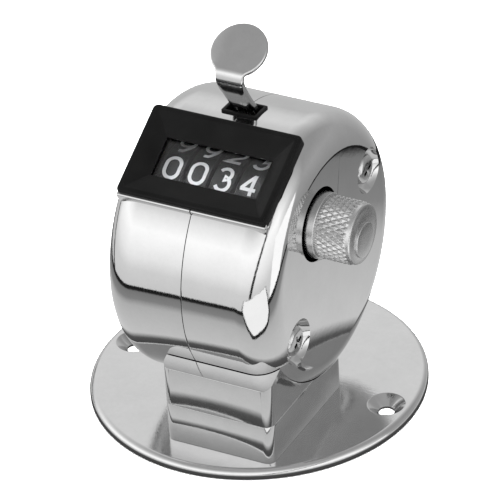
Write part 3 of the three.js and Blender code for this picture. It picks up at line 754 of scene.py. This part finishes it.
def reset_knob():
    """A turned core with a plain flange ring, a knurled sleeve and a shallow boss below the axis."""
    at = AT_SHAFT @ ALONG_X
    low, high = span("reset_knob")
    end, ring, knurl_end = high.x - 0.45, KNOB["ring_x"], high.x - 1.1
    hub, flange, flange_x, inner = KNOB["hub"], KNOB["flange"], KNOB["flange_x"], KNOB["core"]
    core = [(hub, low.x), (hub, flange_x), (flange - 0.1, flange_x), (flange, flange_x + 0.1)]
    core += [(flange, ring - 0.08), (flange - 0.08, ring), (inner, ring + 0.02)]
    core += [(inner, knurl_end - 0.02), (4.9, knurl_end)]
    core += arc(4.0, knurl_end + 0.02, 1.0, 25, 60, 5) + [(3.95, end - 0.03), (3.85, end)]
    core = [(r, h) for r, h in core if h <= end]  # the rounding stops at the end face
    knob = turned(core, 96, at)
    rounding = ((2.9, -0.3), (2.9, 0.28), (2.84, 0.36), (2.5, 0.42), (1.2, 0.45))
    boss = turned([(r, end + h) for r, h in rounding], 96, Matrix.Translation((0, 0, -BOSS_DROP)) @ at)
    join(knob, boss, knurled_sleeve(ring, knurl_end, KNOB["knurl"]))
    finish(knob, "knob_skin", "reset", KNOB_METAL, ["reset_knob"], crease=28)


# ---- thumb lever -------------------------------------------------------------------------------
LEVER_T = 0.95
PAD_R = 4.7
PAD_TILT = math.radians(33)
PAD_CENTRE = (0.62, 61.95)
STRIP_PATH = [(3.75, 45.2), (2.3, 47.9), (0.5, 51.4), (-1.45, 54.7), (-2.6, 57.1), (-3.0, 58.6),
              (-2.75, 59.75)]
STRIP_HALF = 2.42
NECK_R = 1.0
FOLD = math.radians(30)


def lever_path():
    """Dense points of the strip's centre line, then straight on through the pad."""
    way = (math.cos(PAD_TILT), math.sin(PAD_TILT))
    knots = STRIP_PATH + [(PAD_CENTRE[0] - way[0] * d, PAD_CENTRE[1] - way[1] * d) for d in (2.7, 0.0)]
    knots += [(PAD_CENTRE[0] + way[0] * 6, PAD_CENTRE[1] + way[1] * 6)]
    points = []
    for i in range(len(knots) - 1):
        p = [Vector(knots[max(0, min(len(knots) - 1, i + k))]) for k in (-1, 0, 1, 2)]
        for step in range(24):
            t = step / 24
            square = 2 * p[0] - 5 * p[1] + 4 * p[2] - p[3]
            cube = 3 * p[1] - p[0] - 3 * p[2] + p[3]
            points.append(0.5 * (2 * p[1] + (p[2] - p[0]) * t + square * t * t + cube * t ** 3))
    points.append(Vector(knots[-1]))
    lengths = [0.0]
    for a, b in zip(points, points[1:]):
        lengths.append(lengths[-1] + (b - a).length)
    return points, lengths


def lever():
    """A flat rounded sheet in the shape of strip and pad, bent along the path, its strip folded back."""
    points, lengths = lever_path()

    def along(s):
        i = max(k for k in range(len(lengths) - 1) if lengths[k] <= max(s, 0.0))
        t = (s - lengths[i]) / (lengths[i + 1] - lengths[i])
        spot = points[i].lerp(points[i + 1], t)
        before, after = points[max(i - 1, 0)], points[min(i + 2, len(points) - 1)]
        a, b = (points[i + 1] - before).normalized(), (after - points[i]).normalized()
        run = a.lerp(b, t).normalized()
        return spot, run

    centre_s = min(range(len(points)), key=lambda i: (points[i] - Vector(PAD_CENTRE)).length)
    centre_s = lengths[centre_s]
    half, neck = STRIP_HALF, NECK_R
    meet = math.sqrt((PAD_R + neck) ** 2 - (half + neck) ** 2)
    turn = math.degrees(math.atan2(meet, half + neck))
    side = [(half, 0.0)] + [(half, centre_s - meet - d) for d in (6.0, 3.0)]
    side += [(x, centre_s - meet + y) for x, y in arc(half + neck, 0.0, neck, 180, 180 - turn, 6)]
    side += [(x, centre_s + y) for x, y in arc(0, 0, PAD_R, -turn, 90, 44)[1:]]
    outline = side + [(-x, y) for x, y in reversed(side[:-1])]
    round_edge = 0.28

    def inset(amount):
        loop = []
        count = len(outline)
        for i in range(count):
            a, b = Vector(outline[i - 1]), Vector(outline[(i + 1) % count])
            way = (b - a).normalized()
            loop.append((outline[i][0] - way.y * amount, outline[i][1] + way.x * amount))
        return loop

    loops = []
    for side_of, order in ((-1, 1), (1, -1)):
        angles = [math.radians(a) for a in (0, 22, 45, 68, 90)]
        for a in (reversed(angles) if order == 1 else angles):
            edge = inset(round_edge * (1 - math.cos(a)))
            height = side_of * (LEVER_T / 2 - round_edge + round_edge * math.sin(a))
            loops.append([(x, y, height) for x, y in edge])
    sheet = lofted(loops)
    bm = bmesh.new()
    bm.from_mesh(sheet.data)

    def slice_at(place, way):
        geometry = bm.verts[:] + bm.edges[:] + bm.faces[:]
        bmesh.ops.bisect_plane(bm, geom=geometry, plane_co=place, plane_no=way)

    s = 0.4
    while s < centre_s + PAD_R - 0.3:
        slice_at((0, s, 0), (0, 1, 0))
        s += 0.22 if centre_s - 7.0 < s < centre_s - 1.0 else 0.7
    for x in (-2.1, -1.8, -1.5, -1.2, -0.6, 0.0, 0.6, 1.2, 1.5, 1.8, 2.1):
        slice_at((x, 0, 0), (1, 0, 0))
    slot_s = lengths[min(range(len(points)), key=lambda i: abs(points[i].y - 51.4))]
    fold_top = centre_s - 5.0
    for v in bm.verts:
        x, s, t = v.co
        spot, run = along(s)
        out = Vector((-run.y, run.x))  # towards the reader, square to the sheet
        # the strip's sides are folded back, more and more towards the slot
        grow = clamp((fold_top - s) / (fold_top - slot_s)) * clamp(s - slot_s + 1.5)
        angle = FOLD * min(1.0, 2.2 * grow)
        back = max(0.0, abs(x) - (1.95 - 0.8 * grow))
        place = spot + out * (t - back * math.sin(angle))
        v.co = Vector((x - math.copysign(back * (1 - math.cos(angle)), x), place.x, place.y))
    bmesh.ops.recalc_face_normals(bm, faces=bm.faces)
    bm.to_mesh(sheet.data)
    bm.free()
    join(sheet, *lever_yoke(along))
    finish(sheet, "lever_skin", "lever", LEVER_METAL, ["thumb_lever"], crease=32)


def lever_yoke(along):
    """The cross-bar and the two side arms that carry the lever inside the housing."""
    pivot = (middle("lever_pivot_pin").y, middle("lever_pivot_pin").z)
    low, high = span("thumb_lever")
    feed = (middle("feed_pawl_pin").y, middle("feed_pawl_pin").z)
    arm_t, arm_r, end = 0.8, 1.9, (3.4, 46.0)
    heading = math.degrees(math.atan2(end[1] - pivot[1], end[0] - pivot[0]))
    outline = arc(*pivot, arm_r, heading + 90, heading + 270, 14)
    outline += arc(*end, arm_r, heading - 90, heading + 90, 14)
    pieces = []
    for x in (low.x, high.x - arm_t):
        arm = prism(outline, x, x + arm_t, ALONG_X)
        cut(arm, prism(arc(*pivot, 1.0, 0, 345, 23), x - 1, x + 2, ALONG_X))
        if x > 0:
            cut(arm, prism(arc(*feed, 0.76, 0, 345, 23), x - 1, x + 2, ALONG_X))
        pieces.append(arm)
    ends = [along(s) for s in (0.1, 1.1, 2.1, 3.1)]
    front = [(p.x - r.y * LEVER_T / 2, p.y + r.x * LEVER_T / 2) for p, r in ends]
    rear = [(p.x + r.y * LEVER_T / 2, p.y - r.x * LEVER_T / 2) for p, r in reversed(ends)]
    pieces.append(prism(front + rear, low.x + arm_t / 2, high.x - arm_t / 2, ALONG_X))
    return pieces


# ---- the CAD nodes that stay, with their materials ---------------------------------------------
KEPT = {
    "block_screw_1": SCREW_METAL, "block_screw_2": SCREW_METAL,
    "saddle_screw_1": STEEL, "saddle_screw_2": STEEL,
    "upper_pillar": BRASS, "lower_pillar": BRASS, "window_lens": LENS, "left_frame_plate": STEEL,
    "right_frame_plate": STEEL, "wheel_shaft": STEEL, "shaft_clip": STEEL, "units_ratchet": STEEL,
    "carry_plate_1": STEEL, "carry_plate_2": STEEL, "carry_plate_3": STEEL, "carry_plate_rod": STEEL,
    "carry_pinion_1": IVORY, "carry_pinion_2": IVORY, "carry_pinion_3": IVORY, "lever_pivot_pin": STEEL,
    "lever_return_spring": STEEL, "feed_pawl": BRASS, "feed_pawl_pin": STEEL, "check_pawl": BRASS,
    "check_pawl_pin": STEEL, "check_pawl_spring": STEEL,
}


def dress_kept_nodes():
    for name, material in KEPT.items():
        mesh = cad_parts[name].data
        mesh.materials.clear()
        mesh.materials.append(material)


# ---- studio ------------------------------------------------------------------------------------
def card(name, verts, faces, shade, glossy_only=True):
    """A light card or floor; glossy-only cards show in reflections and nowhere else."""
    mesh = bpy.data.meshes.new(name)
    mesh.from_pydata([tuple(c * MM for c in v) for v in verts], [], faces)
    obj = bpy.data.objects.new(name, mesh)
    bpy.context.scene.collection.objects.link(obj)
    obj.data.materials.append(shade)
    if glossy_only:
        for ray in ("camera", "diffuse", "transmission", "volume_scatter", "shadow"):
            setattr(obj, f"visible_{ray}", False)
    return obj


def glow(name, level):
    """An emitting material of one level, and its emission node."""
    n = Nodes(name)
    emit = n.add("ShaderNodeEmission")
    emit.inputs["Strength"].default_value = level
    n.link(emit.outputs[0], n.out.inputs[0])
    return n, emit


def polar(radius, bearing, height=-0.5):
    """A point at a bearing in degrees from the reader's side (-Y) round towards +X."""
    return radius * math.sin(math.radians(bearing)), -radius * math.cos(math.radians(bearing)), height


def outline_card(name, points, level, height, grow=0.0):
    """A flat glossy-only shape on the table, its outline pushed out by grow."""
    centre = (sum(p[0] for p in points) / len(points), sum(p[1] for p in points) / len(points))
    verts = []
    for x, y in points:
        reach = math.hypot(x - centre[0], y - centre[1])
        factor = 1 + grow / reach
        verts.append((centre[0] + (x - centre[0]) * factor, centre[1] + (y - centre[1]) * factor, height))
    card(name, verts, [tuple(range(len(verts)))], glow(name, level)[0].material)


def gap_card(name, bearings, low, high, width, level=0.02):
    """A far upright dark slit, from elevation low to high; bearings gives its place at an elevation."""
    verts, steps, far = [], 16, 700
    for k in range(steps + 1):
        height = low + (high - low) * k / steps
        e = math.radians(height)
        for side in (-width / 2, width / 2):
            x, y, z = polar(far * math.cos(e), bearings(height) + side, 30 + far * math.sin(e))
            verts.append((x, y, z))
    faces = [(2 * i, 2 * i + 1, 2 * i + 3, 2 * i + 2) for i in range(steps)]
    card(name, verts, faces, glow(name, level)[0].material)


def studio():
    floor_shade = Nodes("pale_floor")
    floor_shade.set(Roughness=0.9, Specular_IOR_Level=0.0)
    floor_shade.drive(Base_Color=floor_shade.ramp(floor_shade.noise(3, 2.0), [(0.3, 0.90), (0.7, 0.93)]))
    far, under = 3000, -0.02
    corners = [(-far, -far, under), (far, -far, under), (far, far, under), (-far, far, under)]
    floor = card("floor", corners, [(0, 1, 2, 3)], floor_shade.material, glossy_only=False)
    floor.visible_glossy = False

    # painted reflection of the table, a glowing card that only polished metal sees: a pale round top with a
    # painted contact shadow ring close round the disc, then painted shade that darkens it outwards to a dark
    # edge
    n, emit = glow("painted_table_reflection", 1.0)
    length = n.add("ShaderNodeVectorMath", operation="LENGTH")
    n.link(n.mapping(scale=(1, 1, 0)), length.inputs[0])
    reach = n.math("MULTIPLY", length.outputs["Value"], 10.0)
    # painted shade in these tones: a dark contact shadow ring from 0.27 to 0.31, then darker and darker
    # outwards from 0.34
    painted_tones = [(0.0, 0.3), (0.27, 0.06), (0.31, 0.12), (0.34, 0.80), (0.50, 0.70), (0.58, 0.64),
             (0.64, 0.46), (0.68, 0.33), (0.83, 0.27), (0.86, 0.02), (0.96, 0.015), (0.97, 0.015)]
    n.link(n.ramp(reach, painted_tones), emit.inputs[0])
    rim = [polar(97, a, -0.6) for a in range(0, 360, 5)]
    card("painted_table_reflection", rim, [tuple(range(len(rim)))], n.material)

    # painted reflection: a bright glowing patch on the table, in front and to the right, seen only by glossy
    # rays, with a painted dark edge round it
    sheet = [(10, -100), (19, -64), (25, -46), (38, -42), (56, -30), (70, -28), (100, -42), (160, -80),
             (120, -150), (20, -150)]
    outline_card("painted_patch_edge", sheet, 0.02, -0.5, 4.0)
    # painted highlight: the patch glows brighter than the painted table top around it
    outline_card("painted_bright_patch", sheet, 1.35, -0.4)

    # the dark slits between the soft boxes, curved so that they lie upright in the drum's edges
    gap_card("right_gap", lambda h: 21 + 0.55 * (h + 14) + 0.009 * (h + 14) ** 2, -16, 40, 7.0)
    gap_card("left_gap", lambda h: -80 - 1.2 * (h + 22), -28, 20, 7.0, 0.06)

    # the bright soft box on the right
    corners = [(400, -60, -180), (400, 150, -180), (400, 150, 90), (400, -60, 90)]
    card("side_box", corners, [(0, 1, 2, 3)], glow("side_box", 1.5)[0].material)
    surroundings()
    lamps()


def surroundings():
    """The room's soft light: its brightness goes by height, and by front, back left and back right."""
    world = bpy.data.worlds.new("studio")
    bpy.context.scene.world = world
    world.use_nodes = True
    tree = world.node_tree
    tree.nodes.clear()

    def node(kind, **inputs):
        made = tree.nodes.new(kind)
        for key, value in inputs.items():
            made.inputs[key.replace("_", " ")].default_value = value
        return made

    def level_ramp(stops):
        """Brightness by height: stops are (elevation in degrees, level)."""
        ramp = node("ShaderNodeValToRGB")
        elements = ramp.color_ramp.elements
        while len(elements) < len(stops):
            elements.new(0.5)
        for element, (elevation, level) in zip(elements, stops):
            element.position = (math.sin(math.radians(elevation)) + 1) / 2
            element.color = (level, level, level, 1)
        tree.links.new(height.outputs[0], ramp.inputs[0])
        return ramp.outputs[0]

    way = node("ShaderNodeTexCoord")
    split = node("ShaderNodeSeparateXYZ")
    tree.links.new(way.outputs["Generated"], split.inputs[0])
    height = node("ShaderNodeMapRange", From_Min=-1.0)
    tree.links.new(split.outputs[2], height.inputs["Value"])
    front = level_ramp([(-90, 0.5), (-24, 0.86), (-10, 0.95), (0, 1.22), (10, 1.38), (20, 1.52), (31, 1.25),
                        (41, 0.85), (62, 0.46), (90, 0.5)])
    back_left = level_ramp([(-90, 0.5), (-20, 0.6), (12, 0.7), (22, 0.9), (33, 0.98), (50, 0.7),
                            (62, 0.46), (90, 0.5)])
    back_right = level_ramp([(-90, 0.3), (-20, 0.4), (10, 0.5), (33, 0.42), (62, 0.42), (90, 0.5)])
    across = node("ShaderNodeMapRange", From_Min=-0.25, From_Max=0.3)
    tree.links.new(split.outputs[0], across.inputs["Value"])
    behind = node("ShaderNodeMapRange", From_Min=-0.1, From_Max=0.45)
    tree.links.new(split.outputs[1], behind.inputs["Value"])
    back = node("ShaderNodeMix")
    back.data_type = "RGBA"
    both = node("ShaderNodeMix")
    both.data_type = "RGBA"
    for mix, fac, a, b in ((back, across, back_left, back_right), (both, behind, front, back.outputs[2])):
        tree.links.new(fac.outputs[0], mix.inputs[0])
        tree.links.new(a, mix.inputs[6])
        tree.links.new(b, mix.inputs[7])
    sky = node("ShaderNodeBackground")
    tree.links.new(both.outputs[2], sky.inputs[0])
    tree.links.new(sky.outputs[0], node("ShaderNodeOutputWorld").inputs[0])


def lamps():
    """Three area lamps aimed at the object: name, place in metres, watts and size in metres."""
    aim = Vector((0, 0, 0.02))
    plan = (("overhead", (0.05, 0.12, 1.1), 34, 0.7), ("key", (-0.5, -0.8, 0.7), 6, 0.8),
            ("fill", (0.8, -0.3, 0.7), 6, 0.8))
    for name, spot, power, size in plan:
        lamp = bpy.data.lights.new(name, "AREA")
        lamp.energy, lamp.size = power, size
        obj = bpy.data.objects.new(name, lamp)
        bpy.context.scene.collection.objects.link(obj)
        obj.location = spot
        obj.rotation_euler = (aim - Vector(spot)).to_track_quat("-Z", "Y").to_euler()
        obj.visible_glossy = False
        obj.visible_camera = False


def camera():
    turn, rise, roll = math.radians(29.607), math.radians(32.918), math.radians(-3.827)
    target, distance = Vector((0.5, -1.1, 26.2)) * MM, 731.3 * MM
    back = Vector((math.sin(turn) * math.cos(rise), -math.cos(turn) * math.cos(rise), math.sin(rise)))
    right = Vector((math.cos(turn), math.sin(turn), 0))
    up = back.cross(right)
    side = right * math.cos(roll) + up * math.sin(roll)
    top = up * math.cos(roll) - right * math.sin(roll)
    data = bpy.data.cameras.new("camera")
    data.sensor_width = 36
    data.lens = 331.2
    data.clip_start, data.clip_end = 0.01, 20
    obj = bpy.data.objects.new("camera", data)
    bpy.context.scene.collection.objects.link(obj)
    pose = Matrix((side, top, back)).transposed().to_4x4()
    pose.translation = target + back * distance
    obj.matrix_world = pose
    bpy.context.scene.camera = obj


base_plate()
saddle_block()
right_case()
left_case()
for number in range(2):
    case_screw(number)
bezel()
lever_guide()
for order, figure in (("thousands", 0), ("hundreds", 0), ("tens", 3), ("units", 4)):
    number_wheel(order, figure)
reset_knob()
lever()
dress_kept_nodes()
studio()
camera()
bpy.context.scene.view_settings.view_transform = "Standard"
